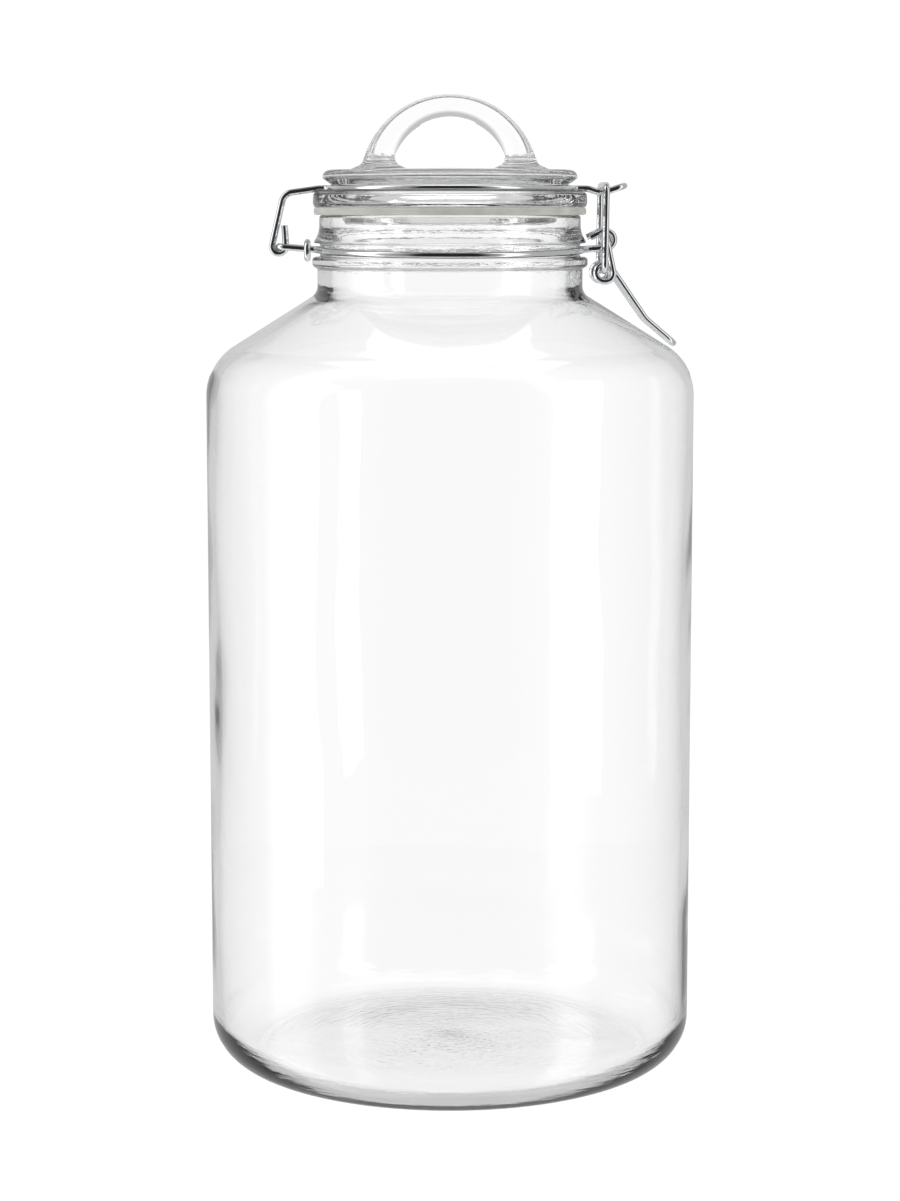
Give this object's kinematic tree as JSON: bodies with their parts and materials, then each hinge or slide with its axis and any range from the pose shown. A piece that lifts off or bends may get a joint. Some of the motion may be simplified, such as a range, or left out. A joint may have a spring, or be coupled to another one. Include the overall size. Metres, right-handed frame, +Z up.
{
  "type": "lidded glass canister",
  "caption": "Tall glass storage canister with a sloping shoulder, rubber-sealed glass lid with a bow handle, and a hinged wire bail closure.",
  "frame": {"origin": "centre of the standing ring, on the surface that the jar stands on", "axes": "+Z up along the jar's axis, +X towards the latch, -X towards the hinge, -Y towards the viewer's side"},
  "size_m": [0.17, 0.17, 0.34],
  "materials": {
    "jar_glass": "clear, polished",
    "lid_glass": "clear, polished",
    "gasket_rubber": "pale translucent rubber, satin",
    "wire": "bright drawn steel wire"
  },
  "bodies": {
    "jar_body": {"jar": "jar_glass", "neck_ring": "wire"},
    "keeper": {"hinge_keeper": "wire"},
    "lid_body": {"lid": "lid_glass", "lid_handle": "lid_glass", "gasket": "gasket_rubber", "lid_ring": "wire"},
    "latch_lever": {"lever": "wire"},
    "latch_link": {"bail_link": "wire"}
  },
  "joints": [
    {"name": "lid_hinge", "type": "hinge", "parent": "jar_body", "child": "lid_body", "pos_m": [-0.0593, 0, 0.2878], "axis": [0, -1, 0], "range_deg": [0, 190]},
    {"name": "lever_pivot", "type": "hinge", "parent": "jar_body", "child": "latch_lever", "pos_m": [0.0536, 0, 0.2908], "axis": [0, -1, 0], "range_deg": [0, 105]},
    {"name": "link_swing", "type": "hinge", "parent": "latch_lever", "child": "latch_link", "pos_m": [0.053, 0, 0.27935], "axis": [0, -1, 0], "range_deg": [-66, 0]},
    {"name": "keeper_slide", "type": "slide", "parent": "jar_body", "child": "keeper", "axis": [0.9963, 0, -0.0858], "range_m": [-0.003, 0.0005]}
  ],
  "couplings": [
    {"joint": "link_swing", "follows": "lever_pivot", "ratio": -0.61}
  ]
}
